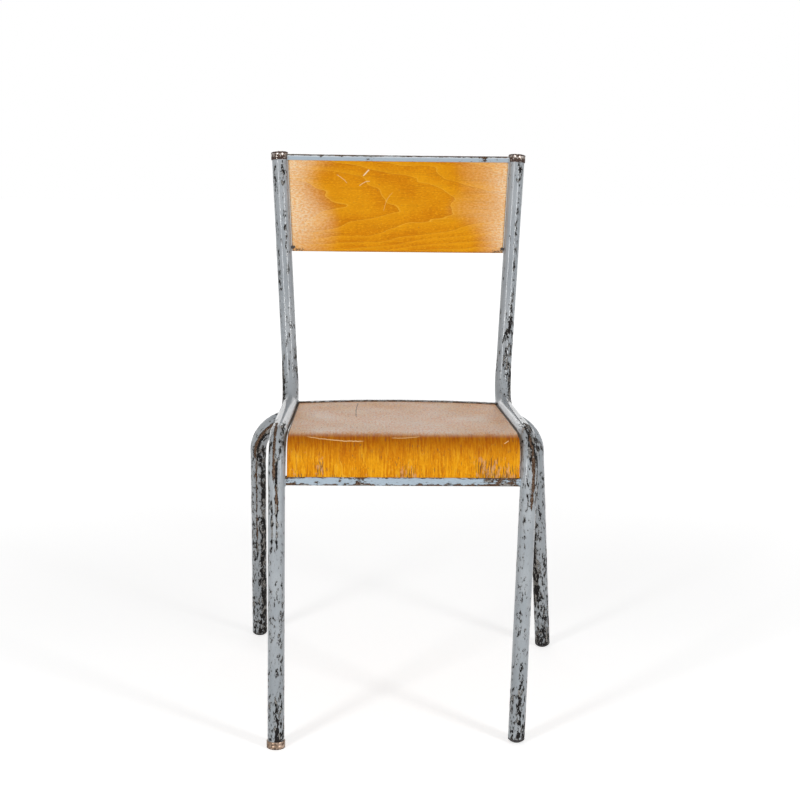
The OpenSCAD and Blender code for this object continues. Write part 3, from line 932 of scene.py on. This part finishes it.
# %% Front rail
FRONT_RAIL_H, FRONT_RAIL_DROP, FRONT_RAIL_BACK, FRONT_STEP = 12.0, 54.2, 2.7, 3.0
front_half = ELBOW_HALF - 4
rail("rail_front", "front_rail", SEAT_FRAME,
     [(Vector((x, FRONT_RAIL_BACK, -FRONT_RAIL_DROP - FRONT_RAIL_H)) * MM, Vector((1, 0, 0)), 0.0)
      for x in [-front_half + FRONT_STEP * i for i in range(int(2 * front_half / FRONT_STEP) + 1)]],
     ([(0, -OUT), (FRONT_RAIL_H, -OUT), (FRONT_RAIL_H, SHEET - OUT), (SHEET, SHEET - OUT),
       (SHEET, OUT - SHEET), (FRONT_RAIL_H, OUT - SHEET), (FRONT_RAIL_H, OUT), (0, OUT)], (0, 7), 2.2),
     # The upper front lip is worn dark too; that dark line is partly a painted shadow of the gap where the
     # apron goes in.
     0.30, [(0, OUT, 3.0, 0.62), (FRONT_RAIL_H, OUT, 1.6, 0.4)],
     [(8, 18, 0.35), (110, 114, 0.35), (292, 296, 0.35), (308, 330, 0.36)],
     # Its front face gets a painted pale blue-grey reflection.
     lambda up, across: 0.5 * soft(across, 4.0, 5.8))

# %% [markdown]
# ## The rear rail
# It is bowed like the seat's rear edge and open forwards. Its line is an arc seen from above,
# found from the bow's height and the distance between the tubes.

# %% Rear rail
SEAT_BOW, REAR_RAIL_Y, REAR_RAIL_W = 22.0, 316.3, 12.0
SEAT_REAR_HALF = REAR_HALF - TUBE_R
REAR_ARC_R = (SEAT_REAR_HALF ** 2 + SEAT_BOW ** 2) / (2 * SEAT_BOW)
REAR_ARC_Y = REAR_RAIL_Y - REAR_ARC_R
rail("rail_rear", "rear_rail", SEAT_FRAME,
     arc_line(REAR_ARC_Y, REAR_ARC_R, math.asin((REAR_HALF - 3) / REAR_ARC_R),
              SEAT_TOP - PLY - SHEET, 0.4),
     ([(0, 0), (RAIL_DEPTH, 0), (RAIL_DEPTH, REAR_RAIL_W), (RAIL_DEPTH - SHEET, REAR_RAIL_W),
       (RAIL_DEPTH - SHEET, SHEET), (SHEET, SHEET), (SHEET, REAR_RAIL_W), (0, REAR_RAIL_W)], (0, 1), 2.2),
     0.26, [(RAIL_DEPTH, 0, 3, 0.3), (0, 0, 3, 0.3), (RAIL_DEPTH, REAR_RAIL_W, 4, 0.55)])

# %% [markdown]
# ## The top rail
# It follows the back's curve and is open downwards. Its folds are the widest, because hands
# lift the chair by it, and its paint has cracked finely along the front edge.

# %% Top rail
TOP_RAIL_H, TOP_DROP, BACK_BOW = 9.5, 1.4, 5.0
BACK_ARC_R = ((TOP_HALF - TUBE_R) ** 2 + BACK_BOW ** 2) / (2 * BACK_BOW)
BACK_ARC_Y = BACK_BOW - BACK_ARC_R
BACK_TOP = UPRIGHT_RUN - TOP_DROP
rail("rail_top", "top_rail", BACK_FRAME,
     arc_line(BACK_ARC_Y, BACK_ARC_R, math.asin((TOP_HALF - 12.4) / BACK_ARC_R),
              BACK_TOP - TOP_RAIL_H, 0.06),
     ([(0, -OUT), (TOP_RAIL_H, -OUT), (TOP_RAIL_H, OUT), (0, OUT), (0, OUT - SHEET),
       (TOP_RAIL_H - SHEET, OUT - SHEET), (TOP_RAIL_H - SHEET, SHEET - OUT), (0, SHEET - OUT)], (1, 2), 3.0),
     0.18, [(TOP_RAIL_H - 0.8, OUT - 0.8, 1.5, 1.3), (TOP_RAIL_H, -OUT, 2.5, 0.6)],
     [(128, 131, 0.3), (302, 305, 0.3)],
     # The top rail's front gets a painted reflection, and a painted white highlight near its top.
     lambda up, across: 0.5 * soft(across, 2.0, 5.8) + 0.5 * soft(up, 4.0, 7.5) * soft(across, 2.0, 5.0))

# %% [markdown]
# ## The ply panels
# Moulded ply starts as a flat sheet of veneers, sawn to outline, and goes into a hot press.
# The same order is kept here. A flat blank gets its edges rounded, each point keeps its flat
# place in `stock`, and then the press bends it. The grain is read from `stock`, so it flows
# over the front roll and down the apron without a seam.

# %% Sawing a blank
def blank(cells_x, cells_y, edge_mm, edge_segments, outline, marks):
    """A flat blank, x across and y along, its depth counted down from the face in z."""
    bm = bmesh.new()
    stock = bm.verts.layers.float_vector.new("stock")
    bmesh.ops.create_grid(bm, x_segments=cells_x, y_segments=cells_y, size=0.5)
    for v in bm.verts:
        v.co = Vector((*outline(v.co.x + 0.5, v.co.y + 0.5), 0)) * MM
    sheet = bmesh.ops.extrude_face_region(bm, geom=bm.faces[:])["geom"]
    bmesh.ops.translate(bm, vec=(0, 0, PLY * MM),
                        verts=[g for g in sheet if isinstance(g, bmesh.types.BMVert)])
    bmesh.ops.recalc_face_normals(bm, faces=bm.faces[:])
    rim = [e for e in bm.edges if len(e.link_faces) == 2 and e.calc_face_angle(0) > 1.0]
    flat_rim = [e for e in rim if abs(e.verts[0].co.z - e.verts[1].co.z) < 1e-6]
    bmesh.ops.bevel(bm, geom=flat_rim, offset=edge_mm * MM, offset_type="OFFSET",
                    segments=edge_segments, profile=0.5, affect="EDGES", material=-1,
                    clamp_overlap=True)
    for v in bm.verts:
        v[stock] = v.co
    return bm, stock, [bm.verts.layers.float.new(name) for name in marks]


# %% [markdown]
# ## The seat's shape
# The blank is straight in front, closes in towards the back, and its rear edge follows the
# rear rail's arc. The press rolls its front down a quarter of a circle into the apron. It
# stands off the tubes by 2.2 mm in front and 1 mm behind, so a dark line shows beside each.

# %% The seat's press
ROLL_R = 34.0
SEAT_FRONT_Y = FRONT_RAIL_BACK - PLY / 2
ROLL_Y, ROLL_Z = SEAT_FRONT_Y + ROLL_R, SEAT_TOP - ROLL_R
ROLL_LEN = ROLL_R * math.pi / 2
APRON_BOTTOM = -FRONT_RAIL_DROP - FRONT_RAIL_H + SHEET
APRON_LEN = ROLL_Z - APRON_BOTTOM
SEAT_HALF_FRONT = ELBOW_HALF - TUBE_R - 2.2
SEAT_HALF_REAR = REAR_HALF - TUBE_R - 1.0
RAIL_RUN = math.hypot(RAIL_LEN, ELBOW_Z - REAR_Z)
FLAT_SHARE = 0.72


def seat_half(along):
    """Half the blank's width at a distance behind the front roll."""
    back = min(max(ROLL_Y + along, 0), RAIL_RUN) / RAIL_RUN
    return SEAT_HALF_FRONT + (SEAT_HALF_REAR - SEAT_HALF_FRONT) * back


def seat_outline(u, t):
    """The sawn blank: straight front, sides that close in, rear edge on the rail's arc."""
    x_share = 2 * u - 1
    if t < 1 - FLAT_SHARE:
        along = -(ROLL_LEN + APRON_LEN) * (1 - t / (1 - FLAT_SHARE))
    else:
        rear = REAR_ARC_Y + math.sqrt((REAR_ARC_R - SHEET) ** 2 - (x_share * SEAT_HALF_REAR) ** 2) - ROLL_Y
        along = (t - (1 - FLAT_SHARE)) / FLAT_SHARE * rear
    return x_share * seat_half(along), along


def seat_pressed(flat):
    """Where the press puts a point of the flat blank, in the seat's own frame."""
    x, along, depth = flat / MM
    if along >= 0:
        y, z = ROLL_Y + along, SEAT_TOP - depth
    elif along > -ROLL_LEN:
        turn = -along / ROLL_R
        y, z = ROLL_Y - (ROLL_R - depth) * math.sin(turn), ROLL_Z + (ROLL_R - depth) * math.cos(turn)
    else:
        y, z = SEAT_FRONT_Y + depth, ROLL_Z + along + ROLL_LEN
    return Vector((x, y, z)) * MM


# %% [markdown]
# ## The seat's wear and painted light
# Five things are marked on this seat. Its top is painted pale, a painted sheen with dust, less
# so at the back and by the tubes. A painted band of shade lies in front of the crest. A painted
# shadow fills the seam beside each tube. The apron's lower edge is frayed all along, and it is
# torn at eight places. Each torn place is (middle, half width, height, strength).

# %% Seat
EDGE_ROUND = 0.9
FRAYED = 0.25
TORN = [(-118, 7, 70, 0.54), (-150, 14, 30, 0.46), (-96, 14, 22, 0.42), (5, 16, 44, 0.54),
        (-47, 9, 20, 0.4), (60, 30, 14, 0.35), (120, 24, 62, 0.58), (152, 12, 44, 0.48)]
bm, stock, (wear, pale, crest, seam) = blank(110, 96, EDGE_ROUND, 2, seat_outline,
                                             ("wear", "pale", "crest", "seam"))
for v in bm.verts:
    x, along, depth = v[stock] / MM
    # Where the painted shade lies in front of the crest.
    v[crest] = 0.95 * soft(-along, 4, 16) * soft(along, -64, -20)
    # Where the painted shadow lies in the seam beside each tube.
    v[seam] = soft(abs(x) - seat_half(along), -3.2, -0.8) * soft(along, -40, 0)
    up = ROLL_LEN + APRON_LEN + along
    v[wear] = FRAYED * soft(-up, -10, 0) + sum(
        strength * math.exp(-((x - middle) / half) ** 4) * soft(-up, -high, -0.3 * high)
        for middle, half, high, strength in TORN)
    # The top's painted sheen, with dust, fades towards the back and by the tubes.
    upper = 1 - 0.7 * soft(depth, 3, 5)
    cloudy = 0.8 + 0.2 * noise.noise(Vector((x / 70, along / 50, 0)))
    shaded = (1 - 0.26 * soft(along, 90, 280)) * (1 - 0.16 * soft(abs(x), 115, 160))
    v[pale] = upper * cloudy * shaded * soft(along, -20, -4)
    v.co = seat_pressed(v.co)
bmesh.ops.transform(bm, matrix=SEAT_FRAME, verts=bm.verts[:])
finished("ply_seat", bm, SEAT_PLY, ["seat_panel"])

# %% [markdown]
# ## The back panel
# A shallower press gives the back its curve. Its bottom edge is turned to a full round, so
# nothing digs into the sitter, and its top edge is hidden in the top rail. It is painted pale
# towards both ends, with a wandering border: a painted sheen with rubbed varnish. It is darker
# in its lower corners by the clips.

# %% Back panel
BACK_H, BACK_GAP, BACK_ROUND = 140.0, 0.3, 3.9
BACK_BOTTOM = BACK_TOP - TOP_RAIL_H - BACK_H
BACK_UPPER = BACK_TOP - SHEET
PALE_WANDER = 34


def back_outline(u, t):
    """The sawn blank: straight edges, a little wider at the top, where the uprights spread."""
    z = BACK_BOTTOM + t * (BACK_UPPER - BACK_BOTTOM)
    half = REAR_HALF + (TOP_HALF - REAR_HALF) * z / UPRIGHT_RUN - TUBE_R - BACK_GAP
    return (2 * u - 1) * half, z


def back_pressed(flat):
    """Where the press puts a point of the flat blank, in the back's own frame."""
    x, z, depth = flat / MM
    turn, radius = x / BACK_ARC_R, BACK_ARC_R - PLY / 2 + depth
    return Vector((radius * math.sin(turn), BACK_ARC_Y + radius * math.cos(turn), z)) * MM


bm, stock, (wear, pale) = blank(80, 15, BACK_ROUND, 5, back_outline, ("wear", "pale"))
for v in bm.verts:
    x, z, depth = v[stock] / MM
    wobble = PALE_WANDER * noise.noise(Vector((z / 45, x / 60, 1.7)))
    # Painted sheen, with rubbed varnish, towards both ends, with a wandering border.
    v[pale] = soft(abs(x) + wobble, 90, 194) * (1 - 0.7 * soft(depth, 3, 5))
    # Darker in the lower corners by the clips.
    v[wear] = 0.62 * soft(abs(x), 128, 150) * soft(BACK_BOTTOM + 16 - z, 0, 14)
    v.co = back_pressed(v.co)
bmesh.ops.transform(bm, matrix=BACK_FRAME, verts=bm.verts[:])
finished("ply_back", bm, BACK_PLY, ["back_panel"])

# %% [markdown]
# ## Turned parts
# Caps, ferrule and plugs are all turned shapes, so each is half a profile spun round its own
# axis, and then stood on the end of its tube. The feet have been dragged over floors for
# years, which has cut a small flat into each: the floor plane bisects the shape and the cut
# is filled.

# %% How turned parts are made
TURNS = 56


def turned(profile_mm, end, inner, wear_at):
    """Spins a profile of (radius, height) round z and stands it on a tube's end, away from inner."""
    bm = bmesh.new()
    wear = bm.verts.layers.float.new("wear")
    points = [bm.verts.new((r * MM, 0, z * MM)) for r, z in profile_mm]
    edges = [bm.edges.new(pair) for pair in zip(points, points[1:])]
    bmesh.ops.spin(bm, geom=points + edges, cent=(0, 0, 0), axis=(0, 0, 1), dvec=(0, 0, 0),
                   angle=2 * math.pi, steps=TURNS, use_merge=True, use_duplicate=False)
    bmesh.ops.remove_doubles(bm, verts=bm.verts[:], dist=1e-6)
    for v in bm.verts:
        v[wear] = wear_at(v.co.z / MM)
    turn = (end - inner).normalized().to_track_quat("Z", "Y").to_matrix().to_4x4()
    bmesh.ops.transform(bm, matrix=Matrix.Translation(end) @ turn, verts=bm.verts[:])
    return bm


def worn_flat(bm):
    """Cuts away what lies below the floor and closes the cut."""
    cut = bmesh.ops.bisect_plane(bm, geom=bm.verts[:] + bm.edges[:] + bm.faces[:],
                                 plane_co=(0, 0, 0), plane_no=(0, 0, 1), clear_inner=True)
    rim = [g for g in cut["geom_cut"] if isinstance(g, bmesh.types.BMEdge)]
    bmesh.ops.edgenet_fill(bm, edges=rim)
    return bm


# %% [markdown]
# ## Caps
# A cap is a thin cup pressed over the upright's end, a little domed. It has rusted where
# water stays: round its shoulder and at the rim of its skirt.

# %% Caps
CAP_R, CAP_SKIRT, CAP_SINK = 13.1, 10.5, 0.4
cap_profile = [(TUBE_R, -CAP_SKIRT), (CAP_R - 0.3, -CAP_SKIRT), (CAP_R, -CAP_SKIRT + 0.5),
               (CAP_R, -1.2), (CAP_R, 0.1), (CAP_R - 0.35, 0.8), (CAP_R - 1.2, 1.25),
               (CAP_R - 3.4, 2.0), (CAP_R - 7.0, 2.85), (4.0, 3.2), (0.0, 3.35),
               (0.0, -CAP_SINK), (TUBE_R, -CAP_SINK), (TUBE_R, -CAP_SKIRT)]
for side in (LEFT, RIGHT):
    bm = turned(cap_profile, upright_top(side), rear_bend(side),
                lambda z: 0.1 + 1.0 * soft(z, -1.6, 0.4) * soft(-z, -2.0, -1.0) + 0.9 * soft(-z, 9.2, 10.4))
    finished("cap_top_" + WORD[side], bm, NICKEL, ["cap_" + WORD[side]], sharp_deg=50)

# %% [markdown]
# ## The ferrule
# The one ferrule left is a cup the other way up, with a rolled groove that grips the tube. It
# is worn at its sole and along the groove.

# %% Ferrule
FERRULE_R, FERRULE_H, GROOVE = 13.3, 10.5, 0.35
bm = turned([(TUBE_R, -FERRULE_H), (FERRULE_R - 0.3, -FERRULE_H), (FERRULE_R, -FERRULE_H + 0.5),
             (FERRULE_R, -6.3), (FERRULE_R - GROOVE, -5.9), (FERRULE_R - GROOVE, -5.3),
             (FERRULE_R, -4.9), (FERRULE_R, -0.6), (FERRULE_R - 0.9, 0.8), (0.0, 0.8),
             (0.0, -FERRULE_SINK), (TUBE_R, -FERRULE_SINK), (TUBE_R, -FERRULE_H)],
            FRONT_FOOT[LEFT], elbow(LEFT),
            lambda z: 0.1 + 0.5 * soft(z, -2, 0.5) + 0.3 * soft(-z, 5.0, 5.9) * soft(z, -6.6, -5.8))
finished("ferrule_foot", worn_flat(bm), COPPER, ["ferrule_front_left"], sharp_deg=50)

# %% [markdown]
# ## Plugs
# The other three feet stand on rubber plugs: a dome, a shoulder that covers the tube's cut
# end, and a stem inside the tube that holds it.

# %% Plugs
PLUG_BALL, PLUG_SINK, STEM_R, STEM_LEN = 16.0, 15.2, 10.3, 6
dome = [(PLUG_BALL * math.cos(a), PLUG_BALL * math.sin(a) - PLUG_SINK)
        for a in [math.radians(41.4 + 48.6 * i / 8) for i in range(8)]]
plug_profile = [(0.0, -PLUG_GAP - STEM_LEN), (STEM_R, -PLUG_GAP - STEM_LEN), (STEM_R, -PLUG_GAP),
                (11.7, -PLUG_GAP), (TUBE_R, -PLUG_GAP + 0.4)] + dome + [(0.0, PLUG_BALL - PLUG_SINK)]
for where, foot, corner in (("front_right", FRONT_FOOT[RIGHT], elbow(RIGHT)),
                            ("rear_left", REAR_FOOT[LEFT], ARCH_CORNER[LEFT]),
                            ("rear_right", REAR_FOOT[RIGHT], ARCH_CORNER[RIGHT])):
    bm = worn_flat(turned(plug_profile, foot, corner, lambda z: 0.0))
    finished("plug_foot_" + where, bm, RUBBER, ["plug_" + where], sharp_deg=50)

# %% [markdown]
# ## Clips
# A small steel clip on each upright holds the panel's lower corner. The frame's own clips
# have the right shape, so they stay, and only get their finish.

# %% Clips
for node in ("clip_left", "clip_right"):
    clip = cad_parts[node]
    for place in clip.material_slots:
        place.material = STEEL
    print(node, "finish", clip.material_slots[0].material.name)

# %% [markdown]
# ## Weld beads
# The frame was welded by hand and painted over, so each joint has a small lumpy fillet. A
# bead is drawn like the tubes, from a thin round section whose size ripples, once for each
# time the welder paused, and it tapers at both ends.

# %% How beads are made
BEAD_SIDES, BEAD_STEP = 14, 0.7
RIPPLE, RIPPLE_DEPTH, LUMPS = 2.6, 0.16, 0.12


def bead(name, corners, radius_mm, turn_mm, wear):
    """A rippled, painted weld bead along a line of corners."""
    line = stations(corners, turn_mm * MM, BEAD_STEP * MM)
    total = sum((b[0] - a[0]).length for a, b in zip(line, line[1:])) / MM

    def size(s):
        s = s / MM
        ends = min(1.0, 0.35 + min(s, total - s) / 3)
        return ends * (1 + RIPPLE_DEPTH * math.sin(s / RIPPLE * 2 * math.pi)
                       + LUMPS * noise.noise(Vector((s / 5, total, 0))))
    first = (line[1][0] - line[0][0]).orthogonal()
    bm = drawn(round_section(radius_mm * MM, BEAD_SIDES), line, first, size)
    mark_wear(bm, [(0, wear), (200, wear)])
    finished(name, bm, ENAMEL, sharp_deg=70)


# %% [markdown]
# ## Welds of the front rail
# The front rail is welded round three sides of its end: down its front, under it and up its
# back. The bead lies on a round tube, so each corner is looked up on the tube's skin.

# %% Beads of the front rail
BEAD_IN, ON_SKIN = 0.4, 0.2


def on_tube(axis_point, side, back_mm):
    """A point on the inner side of an upright tube, back_mm behind its axis."""
    reach = math.sqrt(max(0.0, (TUBE_R + ON_SKIN) ** 2 - back_mm ** 2))
    return axis_point + Vector((-side * reach, back_mm, 0)) * MM


for side in (LEFT, RIGHT):
    leg = (elbow(side) - FRONT_FOOT[side]).normalized()
    rows = []
    for up in (FRONT_RAIL_H - 1.0, -BEAD_IN):
        middle = SEAT_FRAME @ (Vector((side * ELBOW_HALF, FRONT_RAIL_BACK,
                                       -FRONT_RAIL_DROP - FRONT_RAIL_H + up)) * MM)
        axis = FRONT_FOOT[side] + leg * ((middle.z - FRONT_FOOT[side].z) / leg.z)
        rows.append((axis, (middle.y - axis.y) / MM))
    high, low = rows
    corners = [on_tube(axis, side, back + face) for (axis, back), face in (
        (high, BEAD_IN - OUT), (low, BEAD_IN - OUT), (low, OUT - BEAD_IN), (high, OUT - BEAD_IN))]
    bead("bead_front_rail_" + WORD[side], corners, 1.5, 1.8, 0.3)

# %% [markdown]
# ## The other welds
# The top rail has a short bead down each face. The arch has an oval bead where its cross tube
# meets a side tube, and the rear rail is welded round the outside of its end.

# %% Beads of the top rail, the arch and the rear rail
for side in (LEFT, RIGHT):
    half = TOP_HALF - TUBE_R - ON_SKIN
    for face, y, wear in (("", BACK_BOW * 0.05 - OUT, 0.05), ("back_", OUT - BEAD_IN, 0.1)):
        corners = [BACK_FRAME @ (Vector((side * (half - 0.5 * drop / 9), y, BACK_TOP - 0.6 - drop)) * MM)
                   for drop in (1.2, 5.0, 9.2)]
        bead("bead_top_rail_" + face + WORD[side], corners, 1.2, 0.8, wear)

CROSS_MIDDLE, CROSS_ACROSS = Vector((0, 84.57, 418.14)), Vector((0, 0.964, 0.266))
for side in (LEFT, RIGHT):
    middle = CROSS_MIDDLE + Vector((side * REAR_HALF, 0, 0))
    ring = [middle + 9.5 * math.cos(a) * Vector((1, 0, 0)) + 9.0 * math.sin(a) * CROSS_ACROSS
            for a in [math.radians(60 * i + 10) for i in range(7)]]
    bead("bead_arch_" + WORD[side], [at(*p) for p in ring], 2.0, 4.5, 0.15)

for side in (LEFT, RIGHT):
    turn = math.asin((SEAT_REAR_HALF + 1.0) / REAR_ARC_R)
    x, outer_y = side * REAR_ARC_R * math.sin(turn), REAR_ARC_Y + REAR_ARC_R * math.cos(turn)
    inner_y = outer_y - REAR_RAIL_W + 2.0
    low_z, high_z = SEAT_TOP - PLY - SHEET, SEAT_TOP + SHEET
    corners = [SEAT_FRAME @ (Vector((x, y, z)) * MM) for y, z in (
        (inner_y, low_z), (outer_y, low_z), (outer_y, high_z), (inner_y, high_z))]
    bead("bead_rear_rail_" + WORD[side], corners, 1.3, 1.6, 0.25)

# %% [markdown]
# ## The floor
# The chair stands on a pale sweep. The floor is matt white, and what the camera sees of it is
# lifted to paper white, so only the soft shadow under the feet is left. The lift grows with
# the distance from the chair.

# %% Floor
FLOOR_HALF, PAPER = 6.0, 0.8
LIFT_FROM, LIFT_TO, LIFT_NEAR, LIFT_FAR = 0.4, 2.6, 0.60, 0.87


def seen_as_white(tree):
    """1 for what the camera sees, straight or by way of a mirror or a glass."""
    rays = add(tree, "LightPath")
    seen = rays["Is Camera Ray"]
    for kind in ("Is Glossy Ray", "Is Transmission Ray"):
        seen = add(tree, "Math", {"operation": "MAXIMUM"}, (seen, rays[kind]))[0]
    return seen


bm = bmesh.new()
bmesh.ops.create_grid(bm, x_segments=1, y_segments=1, size=FLOOR_HALF)
sweep = bpy.data.meshes.new("floor")
bm.to_mesh(sweep)
bm.free()
floor = bpy.data.objects.new("floor", sweep)
bpy.context.scene.collection.objects.link(floor)
floor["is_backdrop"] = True

paper = bpy.data.materials.new("paper_white")
paper.use_nodes = True
tree = paper.node_tree
tree.nodes.clear()
place = add(tree, "TexCoord")["Object"]
away = add(tree, "VectorMath", {"operation": "LENGTH"}, (place,))["Value"]
rise = add(tree, "MapRange", SMOOTH, (away, LIFT_FROM, LIFT_TO, LIFT_NEAR, LIFT_FAR))[0]
lift = add(tree, "Math", TIMES, (seen_as_white(tree), rise))[0]
matt = add(tree, "BsdfDiffuse", None, {"Color": (PAPER, PAPER, PAPER, 1)})[0]
glow = add(tree, "Emission", None, {"Strength": lift})[0]
both = add(tree, "AddShader", None, (matt, glow))[0]
add(tree, "OutputMaterial", None, (both,))
sweep.materials.append(paper)

# %% [markdown]
# ## The surround
# It is white to the eye, and much dimmer as a lamp, so that the softboxes shape the tubes.

# %% Surround
SURROUND_LIGHT = 0.28
world = bpy.data.worlds.new("surround")
bpy.context.scene.world = world
world.use_nodes = True
tree = world.node_tree
tree.nodes.clear()
strength = add(tree, "MapRange", SMOOTH, (seen_as_white(tree), 0.0, 1.0, SURROUND_LIGHT, 1.0))[0]
sky = add(tree, "Background", None, {"Color": (1, 1, 1, 1), "Strength": strength})[0]
add(tree, "OutputWorld", None, (sky,))
bpy.context.scene.view_settings.view_transform = "Standard"
print("surround as a lamp:", SURROUND_LIGHT)

# %% [markdown]
# ## Last numbers
# The finished chair's box is found, and the pieces made and their faces are counted.

# %% Boxes
low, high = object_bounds()
print("pieces made:", len(MADE), "faces:", sum(len(o.data.polygons) for o in MADE))
